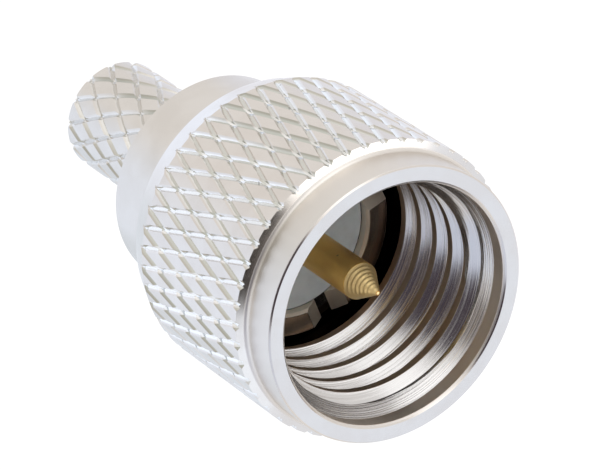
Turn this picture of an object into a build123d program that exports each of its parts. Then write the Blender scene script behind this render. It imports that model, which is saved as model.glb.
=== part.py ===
from build123d import *
from math import degrees, pi, radians, tan
import os

# A miniature threaded coaxial plug with a crimp stem. All sizes are in millimetres.
# The part stands on the rear end of its stem: Z = 0 is that end, the axis is Z,
# and the plug mates towards +Z.

# Coupling thread, 3/8-24: bored here to its minor diameter.
THREAD_MAJOR_D = 9.525
THREAD_HEIGHT = 0.5
THREAD_LENGTH = 5.7
THREAD_START_CHAMFER = 0.9

# Coupling nut, outside
NUT_LENGTH = 9.6
NUT_RING_WALL = 0.7025
NUT_RING_LENGTH = 1.5
NUT_GRIP_RISE = 0.43
NUT_SHOULDER_LENGTH = 0.13
NUT_TAPER_LENGTH = 1.27
NUT_TAPER_DROP = 0.49
NUT_FRONT_EDGE = 0.06

# Coupling nut, inside
LEAD_IN_CLEARANCE = 0.085
LEAD_IN_DEPTH = 0.7
MOUTH_CHAMFER = 0.11
RELIEF_CLEARANCE = 0.05
NUT_LIP = 1.0

# Body, outside
STEM_WALL = 0.4
STEM_LENGTH = 7.3
STEM_END_CHAMFER = 0.05
STEM_KNURL_LENGTH = 4.9
STEM_NECK_DROP = 0.15
COLLAR_STEP = 0.33
COLLAR_LENGTH = 3.4
COLLAR_REAR_CHAMFER = 0.06
BARREL_THREAD_GAP = 0.2325
BARREL_LENGTH = 3.0

# Body, inside
BARREL_WALL = 0.9
CAVITY_DEPTH = 4.6
RIM_BEVEL = 0.12
STEM_BORE_D = 3.8
STEM_BORE_CHAMFER = 0.1

# Slots across the barrel's rim, each with a bevelled mouth
RIM_SLOT_COUNT = 4
RIM_SLOT_WIDTH = 0.5
RIM_SLOT_DEPTH = 1.0
RIM_BEVEL_WIDTH = 1.75
RIM_BEVEL_DEPTH = 0.42
RIM_SLOT_ANGLE = 0.0

# Diamond knurls: two families of helical V grooves, left and right hand. The crossing
# is one point where they meet, given as an angle and a height over the nut's or stem's rear.
GRIP_GROOVES = 46
GRIP_GROOVE_DEPTH = 0.13
GRIP_HELIX_ANGLE = 17.0
GRIP_CROSSING_ANGLE = 4.57
GRIP_CROSSING_HEIGHT = 1.08
STEM_GROOVES = 14
STEM_GROOVE_DEPTH = 0.13
STEM_HELIX_ANGLE = 28.3
STEM_CROSSING_ANGLE = 10.7
STEM_CROSSING_HEIGHT = 3.0
GROOVE_OVERRUN = 0.25
GROOVE_HEADROOM = 0.05

# Retaining ring: a split flat ring in the barrel's groove, in front of the nut's inner lip
RING_THICKNESS = 0.6
RING_WIDTH = 0.9
RING_SPLIT = 1.6
RING_BITE = 0.52
RING_CLEARANCE = 0.06

# Insulator and centre contact
INSULATOR_LENGTH = 4.2
CONTACT_PIN_D = 1.48
CONTACT_PIN_LENGTH = 4.65
CONTACT_CONE_LENGTH = 1.22
CONTACT_TIP_D = 0.16
CONTACT_SHANK_D = 1.9
CONTACT_SHANK_LENGTH = 1.5
CONTACT_BARREL_D = 2.3
CONTACT_REAR_SETBACK = 0.1
CONDUCTOR_CUP_D = 1.44
CONDUCTOR_CUP_DEPTH = 2.1

# Fits, as radial or axial clearances
NUT_RUNNING_CLEARANCE = 0.07
NUT_AXIAL_FLOAT = 0.1
PRESS_SEAT_CLEARANCE = 0.01

# Heights of the faces that locate the pieces
collar_rear_z = STEM_LENGTH
collar_front_z = collar_rear_z + COLLAR_LENGTH
rim_z = collar_front_z + BARREL_LENGTH
cavity_floor_z = rim_z - CAVITY_DEPTH
insulator_front_z = cavity_floor_z + INSULATOR_LENGTH
contact_shoulder_z = insulator_front_z - CONTACT_SHANK_LENGTH
nut_rear_z = collar_front_z + NUT_AXIAL_FLOAT
nut_front_z = nut_rear_z + NUT_LENGTH
lip_z = nut_rear_z + NUT_LIP
ring_z = lip_z + RING_CLEARANCE
thread_start_z = nut_front_z - LEAD_IN_DEPTH
thread_end_z = thread_start_z - THREAD_LENGTH

# Radii that follow from the sizes above
thread_major_r = THREAD_MAJOR_D / 2
thread_minor_r = thread_major_r - THREAD_HEIGHT
lead_in_r = thread_major_r + LEAD_IN_CLEARANCE
nut_ring_r = lead_in_r + NUT_RING_WALL
grip_r = nut_ring_r + NUT_GRIP_RISE
barrel_r = thread_minor_r - BARREL_THREAD_GAP
nut_bore_r = barrel_r + NUT_RUNNING_CLEARANCE
ring_outer_r = barrel_r + RING_BITE
ring_inner_r = ring_outer_r - RING_WIDTH
cavity_r = barrel_r - BARREL_WALL
collar_r = barrel_r + COLLAR_STEP
stem_r = STEM_BORE_D / 2 + STEM_WALL


def turned(outline):
    """A solid turned about Z from a closed outline of (radius, height) points."""
    return revolve(make_face(Plane.XZ * Polyline(*outline, close=True)), Axis.Z)


def make_knurl(radius, depth, count, helix_angle, crossing_angle, crossing_z, bottom_z, top_z):
    """The V cutters of a diamond knurl, as one list for each hand of helix."""
    turn_per_height = tan(radians(helix_angle)) / radius
    half_width = depth + GROOVE_HEADROOM
    section = make_face(
        Polyline(
            (-depth, 0),
            (GROOVE_HEADROOM, half_width),
            (GROOVE_HEADROOM, -half_width),
            close=True,
        )
    )
    families = []
    for hand in (1, -1):
        helix = Helix(2 * pi / turn_per_height, top_z - bottom_z, radius, lefthand=hand < 0)
        path = Pos(0, 0, bottom_z) * helix
        start = Plane(origin=path @ 0, x_dir=(1, 0, 0), z_dir=path % 0)
        cutter = sweep(start * section, path=path, is_frenet=True)
        first = crossing_angle - hand * degrees(turn_per_height * (crossing_z - bottom_z))
        families.append([Rot(0, 0, first + index * 360 / count) * cutter for index in range(count)])
    return families


def make_coupling_nut():
    """The nut: a plain front ring, a knurled grip and a tapered rear edge."""
    relief_r = thread_major_r + RELIEF_CLEARANCE
    shoulder_z = nut_front_z - NUT_RING_LENGTH
    grip_front_z = shoulder_z - NUT_SHOULDER_LENGTH
    grip_rear_z = nut_rear_z + NUT_TAPER_LENGTH
    outside = [
        (grip_r - NUT_TAPER_DROP, nut_rear_z),
        (grip_r, grip_rear_z),
        (grip_r, grip_front_z),
        (nut_ring_r, shoulder_z),
        (nut_ring_r, nut_front_z - NUT_FRONT_EDGE),
        (nut_ring_r - NUT_FRONT_EDGE, nut_front_z),
    ]
    inside = [
        (lead_in_r + MOUTH_CHAMFER, nut_front_z),
        (lead_in_r, nut_front_z - MOUTH_CHAMFER),
        (lead_in_r, thread_start_z),
        (thread_minor_r, thread_start_z - THREAD_START_CHAMFER),
        (thread_minor_r, thread_end_z),
        (relief_r, thread_end_z),
        (relief_r, lip_z),
        (nut_bore_r, lip_z),
        (nut_bore_r, nut_rear_z),
    ]
    nut = turned(outside + inside)
    taper_run = NUT_TAPER_LENGTH * GRIP_GROOVE_DEPTH / NUT_TAPER_DROP
    knurl = make_knurl(
        radius=grip_r,
        depth=GRIP_GROOVE_DEPTH,
        count=GRIP_GROOVES,
        helix_angle=GRIP_HELIX_ANGLE,
        crossing_angle=GRIP_CROSSING_ANGLE,
        crossing_z=nut_rear_z + GRIP_CROSSING_HEIGHT,
        bottom_z=grip_rear_z - taper_run - GROOVE_OVERRUN,
        top_z=shoulder_z + GROOVE_OVERRUN,
    )
    for family in knurl:
        nut -= family
    return nut


def make_rim_slot():
    """The cutter for one slot across the barrel's rim: a saw cut with a bevelled mouth."""
    cut_length = 2 * barrel_r
    saw_cut = Box(cut_length, RIM_SLOT_WIDTH, RIM_SLOT_DEPTH, align=(Align.MIN, Align.CENTER, Align.MAX))
    half_mouth = RIM_BEVEL_WIDTH / 2
    half_slot = RIM_SLOT_WIDTH / 2
    mouth_section = Polyline(
        (-half_mouth, 0),
        (half_mouth, 0),
        (half_slot, -RIM_BEVEL_DEPTH),
        (-half_slot, -RIM_BEVEL_DEPTH),
        close=True,
    )
    mouth = extrude(make_face(Plane.YZ * mouth_section), cut_length)
    return Pos(0, 0, rim_z) * (saw_cut + mouth)


def make_body():
    """The body: crimp stem, collar and slotted front barrel, turned in one piece."""
    bore_r = STEM_BORE_D / 2
    neck_r = stem_r - STEM_NECK_DROP
    groove_r = ring_inner_r - RING_CLEARANCE
    outside = [
        (stem_r - STEM_END_CHAMFER, 0),
        (stem_r, STEM_END_CHAMFER),
        (stem_r, STEM_KNURL_LENGTH),
        (neck_r, STEM_KNURL_LENGTH),
        (neck_r, collar_rear_z),
        (collar_r - COLLAR_REAR_CHAMFER, collar_rear_z),
        (collar_r, collar_rear_z + COLLAR_REAR_CHAMFER),
        (collar_r, collar_front_z),
        (barrel_r, collar_front_z),
        (barrel_r, ring_z),
        (groove_r, ring_z),
        (groove_r, ring_z + RING_THICKNESS),
        (barrel_r, ring_z + RING_THICKNESS),
        (barrel_r, rim_z),
    ]
    inside = [
        (cavity_r + RIM_BEVEL, rim_z),
        (cavity_r, rim_z - RIM_BEVEL),
        (cavity_r, cavity_floor_z),
        (bore_r, cavity_floor_z),
        (bore_r, STEM_BORE_CHAMFER),
        (bore_r + STEM_BORE_CHAMFER, 0),
    ]
    body = turned(outside + inside)
    for index in range(RIM_SLOT_COUNT):
        body -= Rot(0, 0, RIM_SLOT_ANGLE + index * 360 / RIM_SLOT_COUNT) * make_rim_slot()
    knurl = make_knurl(
        radius=stem_r,
        depth=STEM_GROOVE_DEPTH,
        count=STEM_GROOVES,
        helix_angle=STEM_HELIX_ANGLE,
        crossing_angle=STEM_CROSSING_ANGLE,
        crossing_z=STEM_CROSSING_HEIGHT,
        bottom_z=-GROOVE_OVERRUN,
        top_z=STEM_KNURL_LENGTH + GROOVE_OVERRUN,
    )
    for family in knurl:
        body -= family
    return body


def make_retaining_ring():
    """The split ring that holds the nut on the body and lets it turn."""
    ring = turned(
        [
            (ring_inner_r, ring_z),
            (ring_outer_r, ring_z),
            (ring_outer_r, ring_z + RING_THICKNESS),
            (ring_inner_r, ring_z + RING_THICKNESS),
        ]
    )
    split = Box(ring_outer_r, RING_SPLIT, RING_THICKNESS, align=(Align.MIN, Align.CENTER, Align.MIN))
    return ring - Pos(0, 0, ring_z) * split


def make_insulator():
    """The insulator: a bush pressed into the cavity, stepped inside for the contact."""
    outer_r = cavity_r - PRESS_SEAT_CLEARANCE
    shank_hole_r = CONTACT_SHANK_D / 2 + PRESS_SEAT_CLEARANCE
    barrel_hole_r = CONTACT_BARREL_D / 2 + PRESS_SEAT_CLEARANCE
    return turned(
        [
            (barrel_hole_r, cavity_floor_z),
            (outer_r, cavity_floor_z),
            (outer_r, insulator_front_z),
            (shank_hole_r, insulator_front_z),
            (shank_hole_r, contact_shoulder_z),
            (barrel_hole_r, contact_shoulder_z),
        ]
    )


def make_centre_contact():
    """The centre contact: a pointed pin, a shank, and a rear barrel cupped for the conductor."""
    pin_r = CONTACT_PIN_D / 2
    shank_r = CONTACT_SHANK_D / 2
    contact_barrel_r = CONTACT_BARREL_D / 2
    cup_r = CONDUCTOR_CUP_D / 2
    rear_z = cavity_floor_z + CONTACT_REAR_SETBACK
    cone_z = insulator_front_z + CONTACT_PIN_LENGTH
    return turned(
        [
            (0, rear_z + CONDUCTOR_CUP_DEPTH),
            (cup_r, rear_z + CONDUCTOR_CUP_DEPTH),
            (cup_r, rear_z),
            (contact_barrel_r, rear_z),
            (contact_barrel_r, contact_shoulder_z),
            (shank_r, contact_shoulder_z),
            (shank_r, insulator_front_z),
            (pin_r, insulator_front_z),
            (pin_r, cone_z),
            (CONTACT_TIP_D / 2, cone_z + CONTACT_CONE_LENGTH),
            (0, cone_z + CONTACT_CONE_LENGTH),
        ]
    )


PIECES = {
    "body": make_body,
    "coupling_nut": make_coupling_nut,
    "retaining_ring": make_retaining_ring,
    "insulator": make_insulator,
    "centre_contact": make_centre_contact,
}

os.makedirs("parts", exist_ok=True)
for name, make in PIECES.items():
    export_step(make(), f"parts/{name}.step")
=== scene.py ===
"""Looks of a miniature threaded coaxial plug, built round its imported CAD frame.

The frame is in metres. Sizes in this file are in millimetres, as on a lathe drawing, and each
finished mesh is brought to metres once. The plug's axis is Z and it mates towards +Z.
"""

import logging
import math
from dataclasses import dataclass, field
from enum import Enum

import bmesh
import bpy
from mathutils import Matrix, Vector


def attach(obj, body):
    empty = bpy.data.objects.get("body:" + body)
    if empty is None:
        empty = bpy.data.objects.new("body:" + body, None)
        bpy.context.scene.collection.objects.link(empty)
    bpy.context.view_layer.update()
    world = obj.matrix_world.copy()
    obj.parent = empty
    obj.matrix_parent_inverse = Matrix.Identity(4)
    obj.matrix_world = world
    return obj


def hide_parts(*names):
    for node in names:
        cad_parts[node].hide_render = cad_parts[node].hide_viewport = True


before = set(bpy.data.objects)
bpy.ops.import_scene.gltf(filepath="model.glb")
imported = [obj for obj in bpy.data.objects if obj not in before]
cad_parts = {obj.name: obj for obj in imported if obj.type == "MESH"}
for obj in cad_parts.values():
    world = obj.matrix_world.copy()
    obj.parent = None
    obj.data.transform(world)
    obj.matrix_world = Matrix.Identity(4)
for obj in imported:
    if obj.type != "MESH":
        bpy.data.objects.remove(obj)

LOG = logging.getLogger("plug")
MM = 0.001
WELD_MM = 0.0004
SHEET_MARGIN_MM = 1.0
GROOVE_LAYER = "groove"
LEFT_HAND_LAYER = "left_hand_groove"

Point = tuple[float, float]
Profile = list[Point]
Colour = tuple[float, float, float]
Term = bpy.types.NodeSocket | float
Tint = bpy.types.NodeSocket | Colour


class Body(Enum):
    """The two bodies of the frame that pieces ride on."""

    CONNECTOR = "connector_body"
    NUT = "nut"


class Side(Enum):
    """Which part of a cut mesh is thrown away, seen along +Z."""

    NEITHER = 0
    ABOVE = 1
    BELOW = 2


# Mesh helpers


def all_geometry(bm: bmesh.types.BMesh) -> list:
    """Every vertex, edge and face of a mesh, as most operators want them."""
    return bm.verts[:] + bm.edges[:] + bm.faces[:]


def weld(bm: bmesh.types.BMesh) -> None:
    """Joins vertices that lie on each other."""
    bmesh.ops.remove_doubles(bm, verts=bm.verts, dist=WELD_MM)


def linked_object(bm: bmesh.types.BMesh, name: str) -> bpy.types.Object:
    """Puts a mesh into the scene.

    Args:
        bm: The mesh in metres, which is freed.
        name: The object's name.

    Returns:
        The new object, at the origin.
    """
    mesh = bpy.data.meshes.new(name)
    bm.to_mesh(mesh)
    bm.free()
    made = bpy.data.objects.new(name, mesh)
    bpy.context.scene.collection.objects.link(made)
    return made


def to_metres(bm: bmesh.types.BMesh) -> None:
    """Turns a closed mesh's faces outwards and brings it from millimetres to metres."""
    bmesh.ops.recalc_face_normals(bm, faces=bm.faces)
    bmesh.ops.scale(bm, vec=(MM, MM, MM), verts=bm.verts)


def shade(mesh: bpy.types.Mesh, sharp_deg: float) -> None:
    """Shades a mesh smooth, but crisp where it bends more than an angle."""
    mesh.shade_smooth()
    mesh.set_sharp_from_angle(angle=math.radians(sharp_deg))


def finished_object(
    bm: bmesh.types.BMesh, name: str, material: bpy.types.Material, sharp_deg: float
) -> bpy.types.Object:
    """Turns a mesh in millimetres into a shaded object in metres.

    Args:
        bm: The mesh, which is freed.
        name: The piece's name.
        material: Its finish.
        sharp_deg: Edges that bend more than this stay crisp.

    Returns:
        The new object, at the origin.
    """
    to_metres(bm)
    piece = linked_object(bm, name)
    shade(piece.data, sharp_deg)
    piece.data.materials.append(material)
    return piece


def lathe(profile: Profile, segments: int, closed: bool = True) -> bmesh.types.BMesh:
    """Turns a profile of (radius, height) points about Z.

    Args:
        profile: The outline, in order.
        segments: Steps in a full turn.
        closed: Whether the last point joins the first.

    Returns:
        The turned mesh.
    """
    bm = bmesh.new()
    verts = [bm.verts.new((radius, 0.0, height)) for radius, height in profile]
    following = verts[1:] + verts[:1] if closed else verts[1:]
    edges = [bm.edges.new(pair) for pair in zip(verts, following)]
    bmesh.ops.spin(
        bm,
        geom=verts + edges,
        cent=(0, 0, 0),
        axis=(0, 0, 1),
        angle=math.tau,
        steps=segments,
        use_merge=True,
    )
    weld(bm)
    return bm


def lie_on_axis(bm: bmesh.types.BMesh) -> None:
    """Closes the poles of a turned mesh whose profile starts or ends on the axis."""
    on_axis = [v for v in bm.verts if math.hypot(v.co.x, v.co.y) < WELD_MM]
    bmesh.ops.remove_doubles(bm, verts=on_axis, dist=WELD_MM)


def boundary_edges(bm: bmesh.types.BMesh, low_z: float, high_z: float) -> list:
    """Finds the open edges of a mesh that lie between two heights.

    Args:
        bm: The mesh.
        low_z: The lower height.
        high_z: The upper height.

    Returns:
        The edges.
    """
    return [
        e
        for e in bm.edges
        if e.is_boundary and all(low_z < v.co.z < high_z for v in e.verts)
    ]


def cut_level(bm: bmesh.types.BMesh, height: float, dropped: Side) -> None:
    """Cuts a mesh at a height and drops one side of it.

    Args:
        bm: The mesh.
        height: Where the cut lies.
        dropped: The side to drop.
    """
    bmesh.ops.bisect_plane(
        bm,
        geom=all_geometry(bm),
        dist=WELD_MM,
        plane_co=(0, 0, height),
        plane_no=(0, 0, 1),
        clear_outer=dropped is Side.ABOVE,
        clear_inner=dropped is Side.BELOW,
    )


@dataclass(frozen=True)
class DiamondKnurl:
    """Two families of helical V grooves, left and right hand, on a cylinder."""

    radius: float
    grooves: int
    depth: float
    helix_deg: float
    crossing_deg: float
    crossing_z: float
    bottom_z: float
    top_z: float

    @property
    def pitch(self) -> float:
        """Angle from one groove to the next of its family, in radians."""
        return math.tau / self.grooves

    @property
    def bottom_r(self) -> float:
        """Radius at the bottom of the grooves."""
        return self.radius - self.depth

    @property
    def flank_slope(self) -> float:
        """Rise of a groove's flank for each radian round the cylinder."""
        return self.radius * math.cos(math.radians(self.helix_deg))

    def centre(self, hand: int, height: float) -> float:
        """Angle of one groove of a family at a height, in radians."""
        turn_per_mm = math.tan(math.radians(self.helix_deg)) / self.radius
        return math.radians(self.crossing_deg) + hand * turn_per_mm * (height - self.crossing_z)

    def line(self, hand: int, edge: int, point: Point) -> float:
        """Angle of a groove's bottom (edge 0) or of a flank (edge 1, -1) at a (radius, height)."""
        radius, height = point
        return self.centre(hand, height) + edge * (radius - self.bottom_r) / self.flank_slope

    def nearest(self, angle: float, height: float) -> tuple[float, int]:
        """Finds the closest groove to a point of the cylinder.

        Args:
            angle: Where the point lies, in radians.
            height: Its height.

        Returns:
            How far off the groove's bottom is, in radians, and the groove's hand.
        """
        found = []
        for hand in (1, -1):
            offset = (angle - self.centre(hand, height)) % self.pitch
            found.append((min(offset, self.pitch - offset), hand))
        return min(found)

    def reaches(self, height: float) -> bool:
        """Whether the grooves run at this height."""
        return self.bottom_z - WELD_MM <= height <= self.top_z + WELD_MM


@dataclass
class KnurledTurning:
    """A turned surface that carries one diamond knurl, made as one sector and then repeated.

    The sector starts as a flat sheet, with X round the cylinder and Y along the outline.
    """

    profile: Profile
    knurl: DiamondKnurl
    columns: int
    closed: bool = False
    lengths: list[float] = field(init=False)

    def __post_init__(self) -> None:
        """Works out how far along the outline each of its points lies."""
        points = self.profile + self.profile[:1] if self.closed else self.profile
        self.profile = points
        self.lengths = [0.0]
        for start, end in zip(points, points[1:]):
            self.lengths.append(self.lengths[-1] + math.dist(start, end))

    def place(self, along: float) -> Point:
        """Finds a point of the outline.

        Args:
            along: How far along the outline it lies.

        Returns:
            Its radius and height.
        """
        last = len(self.lengths) - 2
        for index, (low, high) in enumerate(zip(self.lengths, self.lengths[1:])):
            if along <= high or index == last:
                share = (along - low) / (high - low)
                (r0, z0), (r1, z1) = self.profile[index : index + 2]
                return r0 + share * (r1 - r0), z0 + share * (z1 - z0)
        return self.profile[-1]

    def score(self, bm: bmesh.types.BMesh, low: float, high: float, start: Vector, end: Vector) -> None:
        """Splits a stretch of the flat sheet along one straight line.

        Args:
            bm: The sheet.
            low: Where the stretch starts along the outline.
            high: Where it ends.
            start: One point of the line.
            end: Another point of the line.
        """
        faces = [f for f in bm.faces if low < f.calc_center_median().y < high]
        edges = {e for f in faces for e in f.edges}
        verts = {v for f in faces for v in f.verts}
        run = end - start
        bmesh.ops.bisect_plane(
            bm,
            geom=list(verts) + list(edges) + faces,
            dist=WELD_MM,
            plane_co=start,
            plane_no=Vector((run.y, -run.x, 0.0)),
        )

    def score_family(self, bm: bmesh.types.BMesh, low: float, high: float, first: float, last: float) -> None:
        """Splits a stretch of the flat sheet along the same line of each groove of a family.

        Args:
            bm: The sheet.
            low: Where the stretch starts along the outline.
            high: Where it ends.
            first: The line's angle at the start, for any one groove.
            last: Its angle at the end.
        """
        width, radius = self.knurl.pitch, self.knurl.radius
        least = math.floor(min(first, last) / width)
        most = math.ceil(max(first, last) / width)
        for step in range(-most, 2 - least):
            start = Vector(((first + step * width) * radius, low, 0.0))
            end = Vector(((last + step * width) * radius, high, 0.0))
            self.score(bm, low, high, start, end)

    def score_grooves(self, bm: bmesh.types.BMesh) -> None:
        """Splits the flat sheet along each groove's bottom and along both of its edges.

        Args:
            bm: The sheet.
        """
        knurl = self.knurl
        spans = zip(self.lengths, self.lengths[1:], self.profile, self.profile[1:])
        for low, high, start, end in spans:
            below_grooves = max(start[0], end[0]) <= knurl.bottom_r
            beyond_grooves = not knurl.reaches((start[1] + end[1]) / 2)
            level = abs(end[1] - start[1]) < WELD_MM
            if below_grooves or beyond_grooves or level:
                continue
            for hand in (1, -1):
                for edge in (-1, 0, 1):
                    first, last = knurl.line(hand, edge, start), knurl.line(hand, edge, end)
                    self.score_family(bm, low, high, first, last)

    def flat_sheet(self) -> bmesh.types.BMesh:
        """Makes the sheet for one pitch of the knurl.

        Returns:
            The sheet, split at the outline's corners and along the grooves.
        """
        width, length = self.knurl.pitch * self.knurl.radius, self.lengths[-1]
        bm = bmesh.new()
        bmesh.ops.create_grid(bm, x_segments=self.columns, y_segments=1, size=0.5)
        bmesh.ops.scale(bm, vec=(width, length, 1.0), verts=bm.verts)
        bmesh.ops.translate(bm, vec=(width / 2, length / 2, 0.0), verts=bm.verts)
        low, high = -SHEET_MARGIN_MM, length + SHEET_MARGIN_MM
        for along in self.lengths[1:-1]:
            self.score(bm, low, high, Vector((0, along, 0)), Vector((1, along, 0)))
        self.score_grooves(bm)
        return bm

    def roll_up(self, bm: bmesh.types.BMesh) -> None:
        """Bends the sheet round the axis and presses the grooves into it.

        Each vertex keeps how deep in a groove it lies, and whether that groove is left-handed.

        Args:
            bm: The sheet.
        """
        knurl = self.knurl
        depth_layer = bm.verts.layers.float.new(GROOVE_LAYER)
        left_hand_layer = bm.verts.layers.float.new(LEFT_HAND_LAYER)
        for vert in bm.verts:
            angle = vert.co.x / knurl.radius
            radius, height = self.place(vert.co.y)
            if knurl.reaches(height):
                offset, hand = knurl.nearest(angle, height)
                floor = knurl.bottom_r + offset * knurl.flank_slope
                vert[depth_layer] = min(max((radius - floor) / knurl.depth, 0.0), 1.0)
                vert[left_hand_layer] = float(hand < 0)
                radius = min(radius, floor)
            vert.co = (radius * math.cos(angle), radius * math.sin(angle), height)

    def build(self) -> bmesh.types.BMesh:
        """Makes the whole surface.

        Returns:
            The mesh, open at the outline's two ends unless it is closed.
        """
        bm = self.flat_sheet()
        self.roll_up(bm)
        repeats = self.knurl.grooves - 1
        bmesh.ops.spin(
            bm,
            geom=all_geometry(bm),
            cent=(0, 0, 0),
            axis=(0, 0, 1),
            angle=self.knurl.pitch * repeats,
            steps=repeats,
            use_duplicate=True,
        )
        weld(bm)
        return bm


# Shader building blocks


@dataclass
class NodeCanvas:
    """Adds and wires nodes in one node tree."""

    tree: bpy.types.NodeTree

    def add(
        self, kind: str, values: dict[str | int, object] | None = None, **settings: object
    ) -> bpy.types.Node:
        """Adds a node.

        Args:
            kind: The node's type name.
            values: Input socket name or index to a constant or to an output socket.
            **settings: Properties of the node itself.

        Returns:
            The new node.
        """
        node = self.tree.nodes.new(kind)
        for key, value in settings.items():
            setattr(node, key, value)
        for key, value in (values or {}).items():
            if isinstance(value, bpy.types.NodeSocket):
                self.tree.links.new(value, node.inputs[key])
            else:
                node.inputs[key].default_value = value
        return node

    def math(self, operation: str, *terms: Term) -> bpy.types.NodeSocket:
        """The result of one Math node."""
        node = self.add("ShaderNodeMath", dict(enumerate(terms)), operation=operation)
        return node.outputs[0]

    def ramp(
        self, value: Term, low: float, high: float, to_low: float = 0.0, to_high: float = 1.0
    ) -> bpy.types.NodeSocket:
        """Moves a value smoothly from one range to another and clamps it.

        Args:
            value: The value.
            low: Start of its range.
            high: End of its range.
            to_low: What the start becomes.
            to_high: What the end becomes.

        Returns:
            The moved value.
        """
        ends = {"From Min": low, "From Max": high, "To Min": to_low, "To Max": to_high}
        node = self.add(
            "ShaderNodeMapRange", {"Value": value, **ends}, interpolation_type="SMOOTHSTEP"
        )
        return node.outputs["Result"]

    def blend(self, share: Term, first: Term, second: Term) -> bpy.types.NodeSocket:
        """A value between two values."""
        node = self.add("ShaderNodeMix", {0: share, 2: first, 3: second}, data_type="FLOAT")
        return node.outputs[0]

    def mix(self, share: Term, first: Tint, second: Tint) -> bpy.types.NodeSocket:
        """Mixes two colours.

        Args:
            share: How much of the second there is.
            first: The first colour.
            second: The second colour.

        Returns:
            The mixed colour.
        """
        node = self.add("ShaderNodeMix", {"Factor": share}, data_type="RGBA")
        for socket, colour in ((node.inputs[6], first), (node.inputs[7], second)):
            if isinstance(colour, bpy.types.NodeSocket):
                self.tree.links.new(colour, socket)
            else:
                socket.default_value = (*colour, 1.0)
        return node.outputs[2]

    def effect(self, group: bpy.types.NodeTree, values: dict[str, float]) -> bpy.types.NodeOutputs:
        """The outputs of a shared shader group, placed with values of its own."""
        return self.add("ShaderNodeGroup", values, node_tree=group).outputs

    def bump(self, height: Term, depth_mm: float) -> bpy.types.NodeSocket:
        """The normal of a surface whose relief follows a height."""
        values = {"Height": height, "Strength": 1.0, "Distance": depth_mm * MM}
        return self.add("ShaderNodeBump", values).outputs["Normal"]

    def surface(self, values: dict[str, object]) -> None:
        """Ends a material with one Principled shader."""
        shader = self.add("ShaderNodeBsdfPrincipled", values)
        self.add("ShaderNodeOutputMaterial", {"Surface": shader.outputs[0]})


def bare_material(name: str) -> tuple[bpy.types.Material, NodeCanvas]:
    """Starts a material.

    Args:
        name: The material's name.

    Returns:
        The material, and a canvas on its empty tree.
    """
    material = bpy.data.materials.new(name)
    material.use_nodes = True
    material.node_tree.nodes.clear()
    return material, NodeCanvas(material.node_tree)


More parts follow.
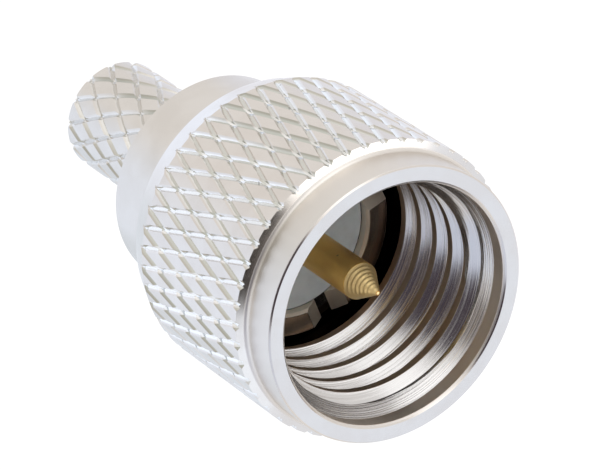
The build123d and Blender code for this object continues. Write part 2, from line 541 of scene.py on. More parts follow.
class EffectLibrary:
    """The shader groups that several finishes share."""

    BLOTCH_EDGE = (0.35, 0.65)
    SPECK_EDGE = (0.1, 0.3)

    def __init__(self) -> None:
        """Builds each group once."""
        self.turning = self.turning_marks()
        self.blotches = self.soft_blotches()
        self.specks = self.fine_specks()
        self.zone = self.inside_zone()

    @staticmethod
    def new_group(name: str, inputs: dict[str, float], outputs: list[str]) -> NodeCanvas:
        """Starts a group with float sockets.

        Args:
            name: The group's name.
            inputs: Input name to its default.
            outputs: Output names.

        Returns:
            A canvas on the group's tree.
        """
        tree = bpy.data.node_groups.new(name, "ShaderNodeTree")
        for key, default in inputs.items():
            socket = tree.interface.new_socket(key, in_out="INPUT", socket_type="NodeSocketFloat")
            socket.default_value = default
        for key in outputs:
            tree.interface.new_socket(key, in_out="OUTPUT", socket_type="NodeSocketFloat")
        return NodeCanvas(tree)

    @staticmethod
    def coordinates_mm(canvas: NodeCanvas) -> bpy.types.NodeSocket:
        """Places on the piece, in millimetres.

        Args:
            canvas: The canvas to work on.

        Returns:
            The Object coordinates, scaled.
        """
        source = canvas.add("ShaderNodeTexCoord").outputs["Object"]
        scaled = canvas.add("ShaderNodeVectorMath", {0: source}, operation="SCALE")
        scaled.inputs["Scale"].default_value = 1 / MM
        return scaled.outputs[0]

    def turned_place(self, canvas: NodeCanvas) -> tuple[bpy.types.NodeSocket, bpy.types.NodeSocket]:
        """Distance from the axis and height, in millimetres.

        Args:
            canvas: The canvas to work on.

        Returns:
            The distance and the height.
        """
        parts = canvas.add("ShaderNodeSeparateXYZ", {0: self.coordinates_mm(canvas)}).outputs
        across = canvas.math("MULTIPLY", parts["X"], parts["X"])
        square = canvas.math("MULTIPLY_ADD", parts["Y"], parts["Y"], across)
        return canvas.math("SQRT", square), parts["Z"]

    def turning_marks(self) -> bpy.types.NodeTree:
        """Fine uneven rings left by a lathe tool, round Z on cylinders and faces alike.

        Returns:
            The group, with a coarse height and a fine one.
        """
        inputs = {"Lines per mm": 8.0, "Seed": 0.0}
        canvas = self.new_group("Turning marks", inputs, ["Height", "Fine"])
        entry = canvas.add("NodeGroupInput").outputs
        radius, height = self.turned_place(canvas)
        along = canvas.math("ADD", canvas.math("ADD", radius, height), entry["Seed"])
        lines = canvas.math("MULTIPLY", along, entry["Lines per mm"])
        leave = canvas.add("NodeGroupOutput")
        for output, spread, detail in (("Height", 1.0, 3.0), ("Fine", 3.7, 1.0)):
            spot = canvas.math("MULTIPLY", lines, spread)
            values = {"W": spot, "Scale": 1.0, "Detail": detail}
            noise = canvas.add("ShaderNodeTexNoise", values, noise_dimensions="1D")
            canvas.tree.links.new(noise.outputs[0], leave.inputs[output])
        return canvas.tree

    def soft_blotches(self) -> bpy.types.NodeTree:
        """A soft cloudy mask for uneven plating and handling.

        Returns:
            The group, with one mask.
        """
        canvas = self.new_group("Soft blotches", {"Size mm": 1.5, "Seed": 0.0}, ["Mask"])
        entry = canvas.add("NodeGroupInput").outputs
        values = {
            "Vector": self.coordinates_mm(canvas),
            "W": entry["Seed"],
            "Scale": canvas.math("DIVIDE", 1.0, entry["Size mm"]),
            "Detail": 4.0,
            "Roughness": 0.55,
        }
        noise = canvas.add("ShaderNodeTexNoise", values, noise_dimensions="4D")
        mask = canvas.ramp(noise.outputs[0], *self.BLOTCH_EDGE)
        canvas.add("NodeGroupOutput", {"Mask": mask})
        return canvas.tree

    def fine_specks(self) -> bpy.types.NodeTree:
        """Sparse small dots of dust and pitting.

        Returns:
            The group, with one mask.
        """
        canvas = self.new_group("Fine specks", {"Size mm": 0.25, "Amount": 0.1}, ["Mask"])
        entry = canvas.add("NodeGroupInput").outputs
        frequency = canvas.math("DIVIDE", 1.0, entry["Size mm"])
        values = {"Vector": self.coordinates_mm(canvas), "Scale": frequency}
        cells = canvas.add("ShaderNodeTexVoronoi", values).outputs
        chance = canvas.add("ShaderNodeSeparateColor", {0: cells["Color"]}).outputs[0]
        chosen = canvas.math("LESS_THAN", chance, entry["Amount"])
        dot = canvas.ramp(cells["Distance"], *self.SPECK_EDGE, 1.0, 0.0)
        canvas.add("NodeGroupOutput", {"Mask": canvas.math("MULTIPLY", chosen, dot)})
        return canvas.tree

    def inside_zone(self) -> bpy.types.NodeTree:
        """A mask for what lies within a radius of the axis and between two heights.

        Returns:
            The group, with one mask.
        """
        inputs = {"Radius mm": 5.0, "Low z mm": 0.0, "High z mm": 1.0}
        canvas = self.new_group("Inside zone", inputs, ["Mask"])
        entry = canvas.add("NodeGroupInput").outputs
        radius, height = self.turned_place(canvas)
        near = canvas.math("LESS_THAN", radius, entry["Radius mm"])
        above = canvas.math("GREATER_THAN", height, entry["Low z mm"])
        below = canvas.math("LESS_THAN", height, entry["High z mm"])
        mask = canvas.math("MULTIPLY", near, canvas.math("MULTIPLY", above, below))
        canvas.add("NodeGroupOutput", {"Mask": mask})
        return canvas.tree


@dataclass(frozen=True)
class Zone:
    """A stretch of a piece near its axis that is tooled, stained, or given painted shade or highlight in its
    own way.
    """

    radius_mm: float
    low_z_mm: float
    high_z_mm: float
    colour: Colour
    marks_gain: float = 1.0
    rougher: float = 0.0

    def mask(self, canvas: NodeCanvas, effects: EffectLibrary) -> bpy.types.NodeSocket:
        """One inside the zone and nothing outside.

        Args:
            canvas: The canvas of the finish.
            effects: The shared shader groups.

        Returns:
            The mask.
        """
        values = {
            "Radius mm": self.radius_mm,
            "Low z mm": self.low_z_mm,
            "High z mm": self.high_z_mm,
        }
        return canvas.effect(effects.zone, values)["Mask"]


@dataclass(frozen=True)
class GroovePaintedHighlight:
    """Painted highlight in a knurl's grooves: a lighter tone for each hand, from a depth inwards."""

    right_hand: Colour
    left_hand: Colour
    starts: float = 0.2
    full: float = 0.7

    def over(self, canvas: NodeCanvas, colour: Tint) -> bpy.types.NodeSocket:
        """Lays the painted groove highlight over a colour.

        Args:
            canvas: The canvas of the finish.
            colour: The colour outside the grooves.

        Returns:
            The colour with the painted highlight in its grooves.
        """
        depth = canvas.add("ShaderNodeAttribute", attribute_name=GROOVE_LAYER).outputs["Fac"]
        left = canvas.add("ShaderNodeAttribute", attribute_name=LEFT_HAND_LAYER).outputs["Fac"]
        # Painted highlight: the grooves lighter than the flats, one tone for each hand
        tone = canvas.mix(left, self.right_hand, self.left_hand)
        return canvas.mix(canvas.ramp(depth, self.starts, self.full), colour, tone)


@dataclass(frozen=True)
class MetalFinish:
    """A turned and plated metal surface."""

    name: str
    colour: Colour
    worn_colour: Colour
    roughness: float
    roughness_spread: float
    lines_per_mm: float
    line_height_mm: float
    blotch_mm: float
    speck_amount: float
    seed: float
    zones: tuple[Zone, ...]
    # Painted highlight in the knurl's grooves, if any
    grooves: GroovePaintedHighlight | None = None
    fine_line_share: float = 0.35
    speck_strength: float = 0.45
    speck_shade: float = 0.25

    def zoned(
        self, canvas: NodeCanvas, effects: EffectLibrary, colour: Tint
    ) -> tuple[Tint, Term, Term]:
        """Lays the zones over a colour.

        Args:
            canvas: The canvas of the finish.
            effects: The shared shader groups.
            colour: The colour outside the zones.

        Returns:
            The colour, the gain of the turning marks, and what is added to the roughness.
        """
        gain, rougher = 1.0, 0.0
        for zone in self.zones:
            mask = zone.mask(canvas, effects)
            colour = canvas.mix(mask, colour, zone.colour)
            gain = canvas.blend(mask, gain, zone.marks_gain)
            rougher = canvas.blend(mask, rougher, zone.rougher)
        return colour, gain, rougher

    def material(self, effects: EffectLibrary) -> bpy.types.Material:
        """Builds the finish's material.

        Args:
            effects: The shared shader groups.

        Returns:
            The material.
        """
        material, canvas = bare_material(self.name)
        marks = canvas.effect(
            effects.turning, {"Lines per mm": self.lines_per_mm, "Seed": self.seed}
        )
        blotch = canvas.effect(
            effects.blotches, {"Size mm": self.blotch_mm, "Seed": self.seed}
        )["Mask"]
        speck = canvas.effect(effects.specks, {"Amount": self.speck_amount})["Mask"]
        colour = canvas.mix(blotch, self.colour, self.worn_colour)
        # Painted highlight in the knurl's grooves
        if self.grooves:
            colour = self.grooves.over(canvas, colour)
        # The zones, several of which carry painted shade or painted highlight
        colour, gain, rougher = self.zoned(canvas, effects, colour)
        dark = tuple(self.speck_shade * c for c in self.colour)
        colour = canvas.mix(canvas.math("MULTIPLY", speck, self.speck_strength), colour, dark)
        uneven = canvas.math("ADD", marks["Fine"], blotch)
        rough = canvas.math("MULTIPLY_ADD", uneven, self.roughness_spread, self.roughness)
        relief = canvas.math("MULTIPLY_ADD", marks["Fine"], self.fine_line_share, marks["Height"])
        canvas.surface(
            {
                "Base Color": colour,
                "Metallic": 1.0,
                "Roughness": canvas.math("ADD", rough, rougher),
                "Normal": canvas.bump(canvas.math("MULTIPLY", relief, gain), self.line_height_mm),
            }
        )
        return material


@dataclass(frozen=True)
class PlasticFinish:
    """A machined fluoropolymer surface: matte, with light let in under the skin."""

    name: str
    colour: Colour
    stained_colour: Colour
    roughness: float
    roughness_spread: float
    lines_per_mm: float
    line_height_mm: float
    blotch_mm: float
    scatter_share: float
    scatter_mm: float

    def material(self, effects: EffectLibrary) -> bpy.types.Material:
        """Builds the finish's material.

        Args:
            effects: The shared shader groups.

        Returns:
            The material.
        """
        material, canvas = bare_material(self.name)
        marks = canvas.effect(effects.turning, {"Lines per mm": self.lines_per_mm})
        blotch = canvas.effect(effects.blotches, {"Size mm": self.blotch_mm})["Mask"]
        spread = self.roughness_spread
        canvas.surface(
            {
                "Base Color": canvas.mix(blotch, self.colour, self.stained_colour),
                "Roughness": canvas.math("MULTIPLY_ADD", marks["Fine"], spread, self.roughness),
                "Subsurface Weight": self.scatter_share,
                "Subsurface Scale": self.scatter_mm * MM,
                "Normal": canvas.bump(marks["Height"], self.line_height_mm),
            }
        )
        return material


# Sub-assemblies


@dataclass
class CouplingNut:
    """The knurled coupling nut with its inside thread."""

    rear_z: float = 10.8
    front_z: float = 20.4
    ring_r: float = 5.55
    ring_length: float = 1.5
    ring_fillet: float = 0.2
    ring_fillet_steps: int = 8
    ring_fillet_straight: float = 0.03
    grip_rise: float = 0.43
    shoulder_length: float = 0.13
    taper_length: float = 1.27
    taper_drop: float = 0.49
    front_edge: float = 0.06
    lead_in_r: float = 4.8475
    lead_in_depth: float = 0.7
    mouth_chamfer: float = 0.11
    thread_minor_r: float = 4.2625
    thread_depth: float = 0.38
    thread_pitch: float = 1.0583
    thread_length: float = 5.7
    thread_start_chamfer: float = 0.9
    thread_end_chamfer: float = 0.1
    thread_crest: float = 0.30
    thread_flank_deg: float = 38.0
    thread_flank_bow_deg: float = 5.0
    thread_flank_rows: int = 6
    thread_phase_deg: float = -127.6
    thread_run_out_turns: float = 1.5
    thread_spare_turns: int = 2
    thread_segments: int = 128
    relief_r: float = 4.8125
    lip_length: float = 1.0
    bore_r: float = 4.1
    bore_chamfer: float = 0.05
    grooves: int = 46
    groove_depth: float = 0.13
    groove_helix_deg: float = 17.0
    crossing_deg: float = 4.57
    crossing_height: float = 1.08
    columns: int = 8
    seam_gap: float = 0.01
    seam_reach: float = 0.015
    sharp_deg: float = 12.0

    @property
    def grip_r(self) -> float:
        """Radius over the knurl."""
        return self.ring_r + self.grip_rise

    @property
    def thread_top_z(self) -> float:
        """Height where the thread starts, below the lead-in."""
        return self.front_z - self.lead_in_depth

    @property
    def thread_bottom_z(self) -> float:
        """Height where the thread ends, at the relief."""
        return self.thread_top_z - self.thread_length

    def fillet(self) -> Profile:
        """Draws the small fillet between the front ring and the shoulder.

        Returns:
            Its points, with a short straight at each end.
        """
        size, straight = self.ring_fillet, self.ring_fillet_straight
        slope = math.atan2(self.shoulder_length, self.grip_rise)
        centre_r = self.ring_r + size
        centre_z = self.front_z - self.ring_length + size * (1 - math.sin(slope)) / math.cos(slope)
        points = [(self.ring_r, centre_z + straight)]
        for step in range(self.ring_fillet_steps + 1):
            angle = math.pi + (math.pi / 2 - slope) * step / self.ring_fillet_steps
            points.append((centre_r + size * math.cos(angle), centre_z + size * math.sin(angle)))
        last_r, last_z = points[-1]
        end = (last_r + straight * math.cos(slope), last_z - straight * math.sin(slope))
        return [*points, end]

    def outline(self) -> Profile:
        """Draws the nut's outline from the lead-in, over the outside, to the thread relief.

        Returns:
            The outline's points.
        """
        shoulder_z = self.front_z - self.ring_length
        lip_z = self.rear_z + self.lip_length
        return [
            (self.lead_in_r, self.thread_top_z + self.seam_gap),
            (self.lead_in_r, self.front_z - self.mouth_chamfer),
            (self.lead_in_r + self.mouth_chamfer, self.front_z),
            (self.ring_r - self.front_edge, self.front_z),
            (self.ring_r, self.front_z - self.front_edge),
            *self.fillet(),
            (self.grip_r, shoulder_z - self.shoulder_length),
            (self.grip_r, self.rear_z + self.taper_length),
            (self.grip_r - self.taper_drop, self.rear_z),
            (self.bore_r + self.bore_chamfer, self.rear_z),
            (self.bore_r, self.rear_z + self.bore_chamfer),
            (self.bore_r, lip_z),
            (self.relief_r, lip_z),
            (self.relief_r, self.thread_bottom_z - self.seam_gap),
        ]

    def shell(self) -> bmesh.types.BMesh:
        """Makes the nut's turned and knurled surface.

        Returns:
            The surface, open where the thread goes.
        """
        knurl = DiamondKnurl(
            radius=self.grip_r,
            grooves=self.grooves,
            depth=self.groove_depth,
            helix_deg=self.groove_helix_deg,
            crossing_deg=self.crossing_deg,
            crossing_z=self.rear_z + self.crossing_height,
            bottom_z=self.rear_z,
            top_z=self.front_z - self.ring_length,
        )
        return KnurledTurning(self.outline(), knurl, self.columns).build()

    def thread_section(self) -> Profile:
        """Draws one pitch of the thread, from the bottom of a crest to the next one's.

        Returns:
            The section's points. Its flanks bow, and lean most at the root.
        """
        rows = self.thread_flank_rows
        step = self.thread_depth / rows
        flank = [(0.0, 0.0)]
        for row in range(rows):
            lean = self.thread_flank_deg + self.thread_flank_bow_deg * ((2 * row + 1) / rows - 1)
            depth, rise = flank[-1]
            flank.append((depth + step, rise + step * math.tan(math.radians(lean))))
        minor_r = self.thread_minor_r
        upper = [(minor_r + depth, self.thread_crest + rise) for depth, rise in flank]
        lower = [(minor_r + depth, self.thread_pitch - rise) for depth, rise in reversed(flank)]
        return [(minor_r, 0.0), *upper, *lower]

    def endless_thread(self) -> bmesh.types.BMesh:
        """Sweeps the thread's section up a helix, past both of the thread's ends.

        Returns:
            The swept surface.
        """
        turns = math.ceil(self.thread_length / self.thread_pitch) + self.thread_spare_turns
        start_z = self.thread_bottom_z - self.thread_run_out_turns * self.thread_pitch
        bm = bmesh.new()
        verts = [bm.verts.new((r, 0.0, start_z + z)) for r, z in self.thread_section()]
        edges = [bm.edges.new(pair) for pair in zip(verts, verts[1:])]
        turn = Matrix.Rotation(math.radians(self.thread_phase_deg), 3, "Z")
        bmesh.ops.rotate(bm, cent=(0, 0, 0), matrix=turn, verts=bm.verts)
        bmesh.ops.spin(
            bm,
            geom=verts + edges,
            cent=(0, 0, 0),
            axis=(0, 0, 1),
            dvec=(0, 0, self.thread_pitch / self.thread_segments),
            angle=math.tau * turns,
            steps=self.thread_segments * turns,
        )
        weld(bm)
        return bm

    def thread(self) -> bmesh.types.BMesh:
        """Makes the inside thread.

        Returns:
            Its surface, trimmed and chamfered at both ends.
        """
        bm = self.endless_thread()
        cut_level(bm, self.thread_top_z, Side.ABOVE)
        cut_level(bm, self.thread_bottom_z, Side.BELOW)
        cut_level(bm, self.thread_bottom_z + self.thread_end_chamfer, Side.NEITHER)
        start_slope = (self.lead_in_r - self.thread_minor_r) / self.thread_start_chamfer
        end_slope = (self.relief_r - self.thread_minor_r) / self.thread_end_chamfer
        for vert in bm.verts:
            radius = math.hypot(vert.co.x, vert.co.y)
            top = self.lead_in_r - start_slope * (self.thread_top_z - vert.co.z)
            bottom = self.relief_r - end_slope * (vert.co.z - self.thread_bottom_z)
            stretch = max(radius, top, bottom) / radius
            vert.co.x *= stretch
            vert.co.y *= stretch
        return bm

    def build(self, metal: bpy.types.Material) -> bpy.types.Object:
        """Makes the nut, which takes the place of its CAD solid.

        Args:
            metal: Its finish.

        Returns:
            The nut.
        """
        bm = self.shell()
        thread = self.thread()
        thread_mesh = bpy.data.meshes.new("thread_part")
        thread.to_mesh(thread_mesh)
        thread.free()
        bm.from_mesh(thread_mesh)
        bpy.data.meshes.remove(thread_mesh)
        reach = self.seam_reach
        for height in (self.thread_top_z, self.thread_bottom_z):
            loops = boundary_edges(bm, height - reach, height + reach)
            bmesh.ops.bridge_loops(bm, edges=loops)
        nut = finished_object(bm, "coupling_nut_turned", metal, self.sharp_deg)
        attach(nut, Body.NUT.value)
        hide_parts("coupling_nut")
        return nut


@dataclass
class PlugBody:
    """The turned body: knurled crimp stem, collar and slotted front barrel."""

    stem_r: float = 2.3
    stem_chamfer: float = 0.05
    knurl_length: float = 4.9
    neck_drop: float = 0.15
    neck_step: float = 0.05
    collar_r: float = 4.36
    collar_rear_z: float = 7.3
    collar_front_z: float = 10.7
    collar_chamfer: float = 0.06
    barrel_r: float = 4.03
    rim_z: float = 13.7
    rim_edge: float = 0.04
    rim_bevel: float = 0.12
    cavity_r: float = 3.13
    cavity_floor_z: float = 9.1
    bore_r: float = 1.9
    bore_chamfer: float = 0.1
    ring_groove_r: float = 3.59
    ring_groove_z: float = 11.86
    ring_groove_width: float = 0.6
    grooves: int = 14
    groove_depth: float = 0.13
    groove_helix_deg: float = 28.3
    crossing_deg: float = 10.7
    crossing_z: float = 3.0
    columns: int = 12
    slot_count: int = 4
    slot_width: float = 0.5
    slot_depth: float = 1.0
    slot_mouth: float = 1.75
    slot_bevel: float = 0.42
    slot_headroom: float = 0.1
    slot_overrun: float = 0.5
    sharp_deg: float = 12.0

    def outline(self) -> Profile:
        """Draws the body's closed outline, from the stem's rear end round to its bore.

        Returns:
            The outline's points.
        """
        ring_groove_top_z = self.ring_groove_z + self.ring_groove_width
        neck_r = self.stem_r - self.neck_drop
        return [
            (self.bore_r + self.bore_chamfer, 0.0),
            (self.stem_r - self.stem_chamfer, 0.0),
            (self.stem_r, self.stem_chamfer),
            (self.stem_r, self.knurl_length),
            (neck_r, self.knurl_length + self.neck_step),
            (neck_r, self.collar_rear_z),
            (self.collar_r - self.collar_chamfer, self.collar_rear_z),
            (self.collar_r, self.collar_rear_z + self.collar_chamfer),
            (self.collar_r, self.collar_front_z),
            (self.barrel_r, self.collar_front_z),
            (self.barrel_r, self.ring_groove_z),
            (self.ring_groove_r, self.ring_groove_z),
            (self.ring_groove_r, ring_groove_top_z),
            (self.barrel_r, ring_groove_top_z),
            (self.barrel_r, self.rim_z - self.rim_edge),
            (self.barrel_r - self.rim_edge, self.rim_z),
            (self.cavity_r + self.rim_bevel, self.rim_z),
            (self.cavity_r, self.rim_z - self.rim_bevel),
            (self.cavity_r, self.cavity_floor_z),
            (self.bore_r, self.cavity_floor_z),
            (self.bore_r, self.bore_chamfer),
        ]

    def slot_section(self) -> Profile:
        """Draws the section of one saw cut with its bevelled mouth.

        Returns:
            Points across the slot and above the rim.
        """
        half_mouth, half_slot = self.slot_mouth / 2, self.slot_width / 2
        over = self.slot_headroom
        flare = half_mouth + over * (half_mouth - half_slot) / self.slot_bevel
        return [
            (-flare, over),
            (-half_slot, -self.slot_bevel),
            (-half_slot, -self.slot_depth),
            (half_slot, -self.slot_depth),
            (half_slot, -self.slot_bevel),
            (flare, over),
        ]

    def slot_cutter(self) -> bpy.types.Object:
        """Makes the saw cuts across the rim, to be cut away.

        Returns:
            One object that holds them all.
        """
        start, end = self.cavity_r - self.slot_overrun, self.barrel_r + self.slot_overrun
        bm = bmesh.new()
        for index in range(self.slot_count):
            section = [bm.verts.new((start, y, self.rim_z + z)) for y, z in self.slot_section()]
            face = bm.faces.new(section)
            made = bmesh.ops.extrude_face_region(bm, geom=[face])["geom"]
            moved = [v for v in made if isinstance(v, bmesh.types.BMVert)]
            bmesh.ops.translate(bm, vec=(end - start, 0, 0), verts=moved)
            turn = Matrix.Rotation(math.tau * index / self.slot_count, 3, "Z")
            bmesh.ops.rotate(bm, cent=(0, 0, 0), matrix=turn, verts=section + moved)
        to_metres(bm)
        return linked_object(bm, "slot_cutter")

    def cut_slots(self, body: bpy.types.Object) -> None:
        """Saws the slots into the rim and shades the body anew.

        Args:
            body: The turned body.
        """
        cutter = self.slot_cutter()
        cut = body.modifiers.new("rim slots", "BOOLEAN")
        cut.operation = "DIFFERENCE"
        cut.solver = "EXACT"
        cut.object = cutter
        depsgraph = bpy.context.evaluated_depsgraph_get()
        mesh = bpy.data.meshes.new_from_object(body.evaluated_get(depsgraph))
        body.modifiers.clear()
        body.data = mesh
        shade(mesh, self.sharp_deg)
        bpy.data.objects.remove(cutter)

    def build(self, metal: bpy.types.Material) -> bpy.types.Object:
        """Makes the body, which takes the place of its CAD solid.

        Args:
            metal: Its finish.

        Returns:
            The body.
        """
        knurl = DiamondKnurl(
            radius=self.stem_r,
            grooves=self.grooves,
            depth=self.groove_depth,
            helix_deg=self.groove_helix_deg,
            crossing_deg=self.crossing_deg,
            crossing_z=self.crossing_z,
            bottom_z=0.0,
            top_z=self.knurl_length + self.neck_step,
        )
        bm = KnurledTurning(self.outline(), knurl, self.columns, closed=True).build()
        body = finished_object(bm, "plug_body_turned", metal, self.sharp_deg)
        self.cut_slots(body)
        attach(body, Body.CONNECTOR.value)
        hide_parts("body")
        return body


@dataclass
class ContactSet:
    """The pointed centre contact and the insulator that holds it."""

    front_z: float = 13.3
    rear_z: float = 9.2
    insulator_rear_z: float = 9.1
    insulator_r: float = 3.12
    insulator_edge: float = 0.06
    insulator_sharp_deg: float = 12.0
    shank_hole_r: float = 0.96
    barrel_hole_r: float = 1.16
    shank_length: float = 1.5
    shank_r: float = 0.95
    pin_r: float = 0.74
    pin_length: float = 4.65
    cone_length: float = 1.22
    tip_r: float = 0.08
    tip_flat_share: float = 0.75
    tip_flat_drop_share: float = 0.12
    cone_rings: int = 8
    cone_ring_steps: int = 8
    ring_depth: float = 0.012
    ring_rise_share: float = 0.65
    ring_fade_power: int = 4
    barrel_r: float = 1.15
    cup_r: float = 0.72
    cup_depth: float = 2.1
    contact_sharp_deg: float = 20.0
    segments: int = 96

    @property
    def shoulder_z(self) -> float:
        """Height where the contact's barrel meets its shank."""
        return self.front_z - self.shank_length

    @property
    def cone_z(self) -> float:
        """Height where the pin's cone starts."""
        return self.front_z + self.pin_length

    def cone_outline(self) -> Profile:
        """Draws the cone above its base, with the rings that the tool left on it.

        Returns:
            The cone's points. The rings grow fainter towards the tip.
        """
        points = []
        steps = self.cone_ring_steps * self.cone_rings
        for step in range(1, steps + 1):
            share = step / steps
            radius = self.pin_r - share * (self.pin_r - self.tip_r)
            turn = share * self.cone_rings % 1.0
            wave = min(turn / self.ring_rise_share, (1.0 - turn) / (1.0 - self.ring_rise_share))
            depth = self.ring_depth * wave * (1.0 - share**self.ring_fade_power)
            points.append((radius - depth, self.cone_z + share * self.cone_length))
        last_z = points[-1][1]
        return points[:-1] + [(self.tip_r, last_z - self.tip_r)]

    def build_contact(self, metal: bpy.types.Material) -> bpy.types.Object:
        """Makes the contact, which takes the place of its CAD solid.

        Args:
            metal: Its finish.

        Returns:
            The contact.
        """
        tip_z = self.cone_z + self.cone_length
        profile = [
            (0.0, self.rear_z + self.cup_depth),
            (self.cup_r, self.rear_z + self.cup_depth),
            (self.cup_r, self.rear_z),
            (self.barrel_r, self.rear_z),
            (self.barrel_r, self.shoulder_z),
            (self.shank_r, self.shoulder_z),
            (self.shank_r, self.front_z),
            (self.pin_r, self.front_z),
            (self.pin_r, self.cone_z),
            *self.cone_outline(),
            (self.tip_flat_share * self.tip_r, tip_z - self.tip_flat_drop_share * self.tip_r),
            (0.0, tip_z),
        ]
        bm = lathe(profile, self.segments, closed=False)
        lie_on_axis(bm)
        contact = finished_object(bm, "centre_contact_turned", metal, self.contact_sharp_deg)
        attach(contact, Body.CONNECTOR.value)
        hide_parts("centre_contact")
        return contact

    def build_insulator(self, plastic: bpy.types.Material) -> bpy.types.Object:
        """Makes the insulator, which takes the place of its CAD solid.

        Args:
            plastic: Its finish.

        Returns:
            The insulator.
        """
        edge = self.insulator_edge
        profile = [
            (self.barrel_hole_r, self.insulator_rear_z),
            (self.insulator_r - edge, self.insulator_rear_z),
            (self.insulator_r, self.insulator_rear_z + edge),
            (self.insulator_r, self.front_z - edge),
            (self.insulator_r - edge, self.front_z),
            (self.shank_hole_r, self.front_z),
            (self.shank_hole_r, self.shoulder_z),
            (self.barrel_hole_r, self.shoulder_z),
        ]
        bm = lathe(profile, self.segments)
        insulator = finished_object(bm, "insulator_turned", plastic, self.insulator_sharp_deg)
        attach(insulator, Body.CONNECTOR.value)
        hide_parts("insulator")
        return insulator


# Finishes

NUT_NICKEL = MetalFinish(
    name="nut_nickel",
    colour=(0.730, 0.692, 0.652),
    worn_colour=(0.705, 0.660, 0.617),
    roughness=0.12,
    roughness_spread=0.05,
    lines_per_mm=7.0,
    line_height_mm=0.0012,
    blotch_mm=1.1,
    speck_amount=0.004,
    seed=1.3,
    # Painted highlight: the grooves much lighter than the flats, the left-hand ones lightest
    grooves=GroovePaintedHighlight(right_hand=(0.800, 0.795, 0.765), left_hand=(0.950, 0.940, 0.920)),
    zones=(
        # The front ring
        Zone(5.7, 18.86, 20.35, (0.755, 0.715, 0.670), rougher=0.22),
        # The inside wall
        Zone(4.9, 14.0, 20.3, (0.650, 0.635, 0.625), marks_gain=12.0, rougher=0.02),
        # The lead-in
        Zone(4.9, 19.7, 20.3, (0.800, 0.710, 0.620), marks_gain=5.0, rougher=0.25),
        # The thread's crests: dark brown painted shade, with deeper turning marks and more roughness
        Zone(4.27, 14.0, 19.0, (0.420, 0.320, 0.240), marks_gain=9.0, rougher=0.22),
        # The relief behind the thread: near-black painted shade of the deep gap
        Zone(4.9, 10.9, 14.0, (0.020, 0.017, 0.015)),
    ),
)
BODY_NICKEL = MetalFinish(
    name="body_nickel",
    colour=(0.722, 0.690, 0.652),
    worn_colour=(0.692, 0.655, 0.612),
    roughness=0.16,
    roughness_spread=0.06,
    lines_per_mm=6.0,
    line_height_mm=0.0012,
    blotch_mm=1.6,
    speck_amount=0.004,
    seed=5.1,
    # Painted highlight: the grooves a little lighter than the flats
    grooves=GroovePaintedHighlight(right_hand=(0.740, 0.720, 0.690), left_hand=(0.770, 0.755, 0.730)),
    zones=(
        # The bevels of the rim's slots: rougher, with a lighter, warmer painted highlight
        Zone(4.1, 13.27, 13.68, (0.800, 0.730, 0.630), marks_gain=4.0, rougher=0.34),
        # The rim's front face: dark brown painted shade inside the nut
        Zone(4.1, 13.68, 14.0, (0.300, 0.250, 0.210), marks_gain=2.0),
    ),
)
CONTACT_GOLD = MetalFinish(
    name="contact_gold",
    colour=(0.870, 0.580, 0.210),
    worn_colour=(0.800, 0.500, 0.165),
    roughness=0.16,
    roughness_spread=0.06,
    lines_per_mm=10.0,
    line_height_mm=0.003,
    blotch_mm=0.5,
    speck_amount=0.07,
    seed=2.4,
    zones=(
        # The cone
        Zone(0.75, 17.96, 19.3, (1.0, 0.77, 0.37), rougher=0.17),
        # The pin
        Zone(0.75, 13.3, 17.96, (1.0, 0.65, 0.20), marks_gain=1.6, rougher=0.20),
    ),
)
SPRING_BRONZE = MetalFinish(
    name="ring_bronze",
    colour=(0.200, 0.130, 0.075),
    worn_colour=(0.150, 0.095, 0.055),
    roughness=0.34,
    roughness_spread=0.08,
    lines_per_mm=5.0,
    line_height_mm=0.002,
    blotch_mm=0.7,
    speck_amount=0.02,
    seed=7.7,
    zones=(
        # The whole ring: near-black painted shade of the gap it sits in
        Zone(5.0, 11.0, 13.0, (0.060, 0.040, 0.028)),
    ),
)
INSULATOR_WHITE = PlasticFinish(
    name="insulator_white",
    colour=(0.66, 0.71, 0.73),
    stained_colour=(0.58, 0.62, 0.635),
    roughness=0.42,
    roughness_spread=0.12,
    lines_per_mm=9.0,
    line_height_mm=0.004,
    blotch_mm=0.8,
    scatter_share=0.15,
    scatter_mm=0.15,
)


# Studio


@dataclass(frozen=True)
class Panel:
    """One soft patch of the light tent, placed by azimuth from +X and elevation."""

    lights: str
    azimuth_deg: float
    elevation_deg: float
    inner_deg: float
    outer_deg: float
    colour: Colour

    @property
    def direction(self) -> Vector:
        """The unit vector from the plug towards the patch.

        Returns:
            The vector.
        """
        azimuth, elevation = math.radians(self.azimuth_deg), math.radians(self.elevation_deg)
        level = math.cos(elevation)
        return Vector((level * math.cos(azimuth), level * math.sin(azimuth), math.sin(elevation)))

    def share(self, canvas: NodeCanvas, direction: bpy.types.NodeSocket) -> bpy.types.NodeSocket:
        """How much of the patch is seen in a direction.

        Args:
            canvas: The canvas of the light tent.
            direction: The direction that is looked in.

        Returns:
            One inside the patch, fading to nothing at its outer edge.
        """
        ends = {0: direction, 1: self.direction}
        near = canvas.add(
            "ShaderNodeVectorMath", ends, operation="DOT_PRODUCT", label=self.lights
        )
        outer = math.cos(math.radians(self.outer_deg))
        inner = math.cos(math.radians(self.inner_deg))
        return canvas.ramp(near.outputs["Value"], outer, inner)


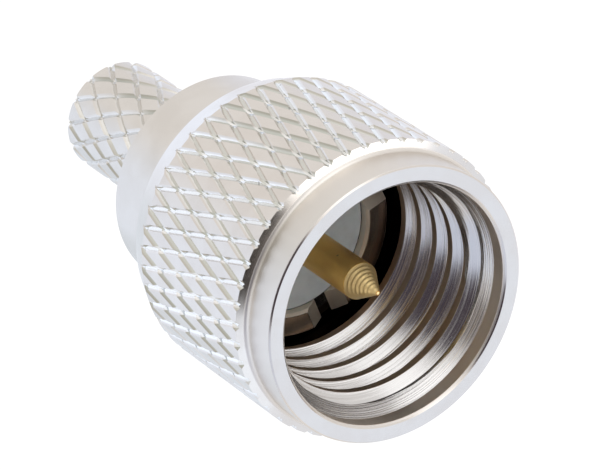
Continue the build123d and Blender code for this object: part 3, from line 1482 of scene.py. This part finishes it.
TENT_PANELS = (
    Panel("cylinders, lower side", 20.0, -50.0, 18.0, 56.0, (1.03, 1.11, 1.26)),
    Panel("fillet at the ring's root", 16.0, 2.0, 16.0, 30.0, (1.08, 1.16, 1.30)),
    Panel("cylinders, lowest edge", 95.0, -48.0, 20.0, 40.0, (0.84, 0.91, 1.00)),
    Panel("cylinders, highest edge", 150.0, -45.0, 20.0, 40.0, (0.95, 0.97, 1.05)),
    Panel("groove flanks, upper side", -85.0, -18.0, 14.0, 28.0, (0.74, 0.735, 0.68)),
    Panel("groove flanks, lower side", -46.0, -22.0, 14.0, 25.0, (0.58, 0.59, 0.54)),
    Panel("rear taper", -150.0, -80.0, 12.0, 24.0, (1.08, 1.16, 1.32)),
    Panel("front face", 116.0, 49.5, 16.0, 40.0, (1.00, 1.08, 1.22)),
    Panel("shoulder, upper half", 163.0, 65.0, 15.0, 21.0, (2.20, 2.20, 2.20)),
    Panel("shoulder, lower end", 66.0, 52.0, 10.0, 17.0, (1.20, 1.30, 1.45)),
    Panel("shoulder, dark middle", 80.0, 78.3, 10.0, 14.0, (0.03, 0.022, 0.018)),
    Panel("thread, upper end of the turns", 28.0, 38.0, 18.0, 32.0, (0.80, 0.86, 1.02)),
    Panel("thread, lower end of the turns", -112.0, 42.0, 12.0, 24.0, (1.25, 1.25, 1.25)),
    Panel("thread, highlight", -128.0, 62.0, 12.0, 20.0, (1.45, 1.45, 1.45)),
    Panel("thread, dark middle", -30.0, 50.0, 23.0, 34.0, (0.07, 0.055, 0.07)),
    Panel("thread's start, dark side", -42.0, 16.0, 12.0, 24.0, (0.30, 0.27, 0.25)),
    Panel("thread's start, highlight", -104.0, 13.0, 22.0, 32.0, (1.70, 1.70, 1.70)),
)


@dataclass
class Studio:
    """Floor, light tent and camera."""

    camera_place_mm: tuple[float, float, float] = (48.90, -100.62, 144.66)
    camera_right: tuple[float, float, float] = (-0.78106, 0.31888, 0.53691)
    camera_up: tuple[float, float, float] = (-0.55584, -0.74689, -0.36500)
    focal_length_mm: float = 271.59
    sensor_mm: float = 36.0
    clip_start_mm: float = 10.0
    floor_size_m: float = 4.0
    floor_colour: Colour = (0.86, 0.86, 0.86)
    floor_glow: float = 1.15
    floor_glow_share: float = 0.8
    white: Colour = (1.0, 1.0, 1.0)
    tent_colour: Colour = (0.97, 0.95, 0.935)
    fill_strength: float = 0.85
    panels: tuple[Panel, ...] = TENT_PANELS

    def build_camera(self) -> None:
        """Places the camera where the photograph was taken from."""
        camera = bpy.data.cameras.new("photo_camera")
        camera.sensor_width = self.sensor_mm
        camera.lens = self.focal_length_mm
        camera.clip_start = self.clip_start_mm * MM
        camera.clip_end = 2 * self.floor_size_m
        holder = bpy.data.objects.new("photo_camera", camera)
        right, up = Vector(self.camera_right), Vector(self.camera_up)
        turn = Matrix((right, up, right.cross(up))).transposed()
        place = Vector(self.camera_place_mm) * MM
        holder.matrix_world = Matrix.Translation(place) @ turn.to_4x4()
        bpy.context.scene.collection.objects.link(holder)
        bpy.context.scene.camera = holder

    def build_world(self) -> None:
        """Makes the light tent: white to the camera, soft patches in reflections."""
        world = bpy.data.worlds.new("light_tent")
        world.use_nodes = True
        world.node_tree.nodes.clear()
        bpy.context.scene.world = world
        canvas = NodeCanvas(world.node_tree)
        direction = canvas.add("ShaderNodeTexCoord").outputs["Generated"]
        reflected: Tint = self.tent_colour
        for panel in self.panels:
            reflected = canvas.mix(panel.share(canvas, direction), reflected, panel.colour)
        paths = canvas.add("ShaderNodeLightPath").outputs
        plain = tuple(self.fill_strength * c for c in self.white)
        colour = canvas.mix(paths["Is Glossy Ray"], plain, reflected)
        colour = canvas.mix(paths["Is Camera Ray"], colour, self.white)
        light = canvas.add("ShaderNodeBackground", {"Color": colour, "Strength": 1.0})
        canvas.add("ShaderNodeOutputWorld", {"Surface": light.outputs[0]})

    def floor_material(self) -> bpy.types.Material:
        """Makes the floor's finish.

        Returns:
            The material. It is white to the camera with a faint shadow, and clear in
            reflections, which see the light tent below it.
        """
        material, canvas = bare_material("pale_floor")
        paths = canvas.add("ShaderNodeLightPath").outputs
        matte = canvas.add("ShaderNodeBsdfDiffuse", {"Color": (*self.floor_colour, 1.0)})
        glow = canvas.add(
            "ShaderNodeEmission", {"Color": (*self.white, 1.0), "Strength": self.floor_glow}
        )
        seen = canvas.math("MULTIPLY", paths["Is Camera Ray"], self.floor_glow_share)
        mixed = canvas.add("ShaderNodeMixShader", {0: seen, 1: matte.outputs[0], 2: glow.outputs[0]})
        clear = canvas.add("ShaderNodeBsdfTransparent")
        final = canvas.add(
            "ShaderNodeMixShader",
            {0: paths["Is Glossy Ray"], 1: mixed.outputs[0], 2: clear.outputs[0]},
        )
        canvas.add("ShaderNodeOutputMaterial", {"Surface": final.outputs[0]})
        return material

    def build_floor(self) -> None:
        """Makes the pale floor that the plug stands on."""
        bm = bmesh.new()
        bmesh.ops.create_grid(bm, x_segments=1, y_segments=1, size=self.floor_size_m / 2)
        floor = linked_object(bm, "floor")
        floor.data.materials.append(self.floor_material())

    def build(self) -> None:
        """Makes the whole studio."""
        bpy.context.scene.view_settings.view_transform = "Standard"
        self.build_camera()
        self.build_world()
        self.build_floor()


# The plug


def dress_retaining_ring(metal: bpy.types.Material) -> bpy.types.Object:
    """Gives the hidden retaining ring, which keeps its CAD mesh, its finish.

    Args:
        metal: The finish.

    Returns:
        The ring.
    """
    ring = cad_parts["retaining_ring"]
    ring.data.materials.clear()
    ring.data.materials.append(metal)
    return ring


def main() -> None:
    """Builds the plug's pieces in order, dresses them and sets up the studio."""
    logging.basicConfig(level=logging.INFO, format="%(name)s: %(message)s")
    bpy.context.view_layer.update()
    effects = EffectLibrary()
    contacts = ContactSet()
    pieces = [
        PlugBody().build(BODY_NICKEL.material(effects)),
        CouplingNut().build(NUT_NICKEL.material(effects)),
        contacts.build_insulator(INSULATOR_WHITE.material(effects)),
        contacts.build_contact(CONTACT_GOLD.material(effects)),
        dress_retaining_ring(SPRING_BRONZE.material(effects)),
    ]
    for piece in pieces:
        LOG.info("%s: %d faces", piece.name, len(piece.data.polygons))
    Studio().build()


if __name__ == "__main__":
    main()
